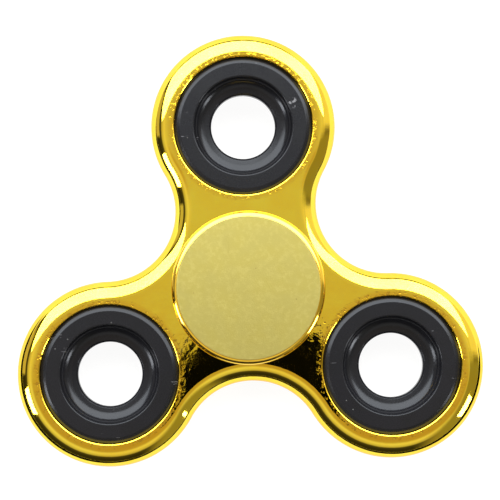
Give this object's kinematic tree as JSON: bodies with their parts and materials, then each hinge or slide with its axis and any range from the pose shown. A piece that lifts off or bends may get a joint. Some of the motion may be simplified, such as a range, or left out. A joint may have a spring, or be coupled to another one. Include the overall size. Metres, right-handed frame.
{
  "type": "fidget spinner",
  "caption": "Hand spinner: a gold plated trefoil body turns on a ball bearing held between finger caps, with a black weight ring in each lobe.",
  "frame": {"origin": "on the spin axis, at the middle of the bearing's and the body's thickness", "axes": "+Z out of the front cap along the spin axis, +Y towards the top lobe, +X to the right as seen from the front"},
  "size_m": [0.0746, 0.0686, 0.0128],
  "materials": {
    "gold_plating": "mirror-bright gold metallised plating over moulded plastic",
    "cap_gold": "satin pale gold metallised plastic",
    "black_paint": "satin black over steel",
    "race_steel": "ground bearing steel",
    "shield_sheet": "stamped satin sheet steel",
    "cage_sheet": "stamped sheet steel",
    "rivet_steel": "headed mild steel",
    "ball_steel": "polished chrome steel"
  },
  "bodies": {
    "hub": {"bearing_inner_race": "race_steel", "front_cap": "cap_gold", "rear_cap": "cap_gold"},
    "rotor": {"body": "gold_plating", "weight_ring_top": "black_paint", "weight_ring_left": "black_paint", "weight_ring_right": "black_paint", "bearing_outer_race": "race_steel", "front_shield": "shield_sheet", "rear_shield": "shield_sheet"},
    "cage": {"cage_front_half": "cage_sheet", "cage_rear_half": "cage_sheet", "cage_rivets": "rivet_steel"},
    "ball_1": {"bearing_ball_1": "ball_steel"},
    "ball_2": {"bearing_ball_2": "ball_steel"},
    "ball_3": {"bearing_ball_3": "ball_steel"},
    "ball_4": {"bearing_ball_4": "ball_steel"},
    "ball_5": {"bearing_ball_5": "ball_steel"},
    "ball_6": {"bearing_ball_6": "ball_steel"},
    "ball_7": {"bearing_ball_7": "ball_steel"}
  },
  "joints": [
    {"name": "rotor_spin", "type": "hinge", "parent": "hub", "child": "rotor", "pos_m": [0, 0, 0], "axis": [0, 0, 1], "continuous": true},
    {"name": "cage_orbit", "type": "hinge", "parent": "hub", "child": "cage", "pos_m": [0, 0, 0], "axis": [0, 0, 1], "continuous": true},
    {"name": "ball_1_roll", "type": "hinge", "parent": "cage", "child": "ball_1", "pos_m": [0, 0.0075, 0], "axis": [0, 0, 1], "continuous": true},
    {"name": "ball_2_roll", "type": "hinge", "parent": "cage", "child": "ball_2", "pos_m": [-0.00586, 0.00468, 0], "axis": [0, 0, 1], "continuous": true},
    {"name": "ball_3_roll", "type": "hinge", "parent": "cage", "child": "ball_3", "pos_m": [-0.00731, -0.00167, 0], "axis": [0, 0, 1], "continuous": true},
    {"name": "ball_4_roll", "type": "hinge", "parent": "cage", "child": "ball_4", "pos_m": [-0.00325, -0.00676, 0], "axis": [0, 0, 1], "continuous": true},
    {"name": "ball_5_roll", "type": "hinge", "parent": "cage", "child": "ball_5", "pos_m": [0.00325, -0.00676, 0], "axis": [0, 0, 1], "continuous": true},
    {"name": "ball_6_roll", "type": "hinge", "parent": "cage", "child": "ball_6", "pos_m": [0.00731, -0.00167, 0], "axis": [0, 0, 1], "continuous": true},
    {"name": "ball_7_roll", "type": "hinge", "parent": "cage", "child": "ball_7", "pos_m": [0.00586, 0.00468, 0], "axis": [0, 0, 1], "continuous": true}
  ],
  "couplings": [
    {"joint": "cage_orbit", "follows": "rotor_spin", "ratio": 0.63233},
    {"joint": "ball_1_roll", "follows": "rotor_spin", "ratio": 1.7568},
    {"joint": "ball_2_roll", "follows": "rotor_spin", "ratio": 1.7568},
    {"joint": "ball_3_roll", "follows": "rotor_spin", "ratio": 1.7568},
    {"joint": "ball_4_roll", "follows": "rotor_spin", "ratio": 1.7568},
    {"joint": "ball_5_roll", "follows": "rotor_spin", "ratio": 1.7568},
    {"joint": "ball_6_roll", "follows": "rotor_spin", "ratio": 1.7568},
    {"joint": "ball_7_roll", "follows": "rotor_spin", "ratio": 1.7568}
  ]
}
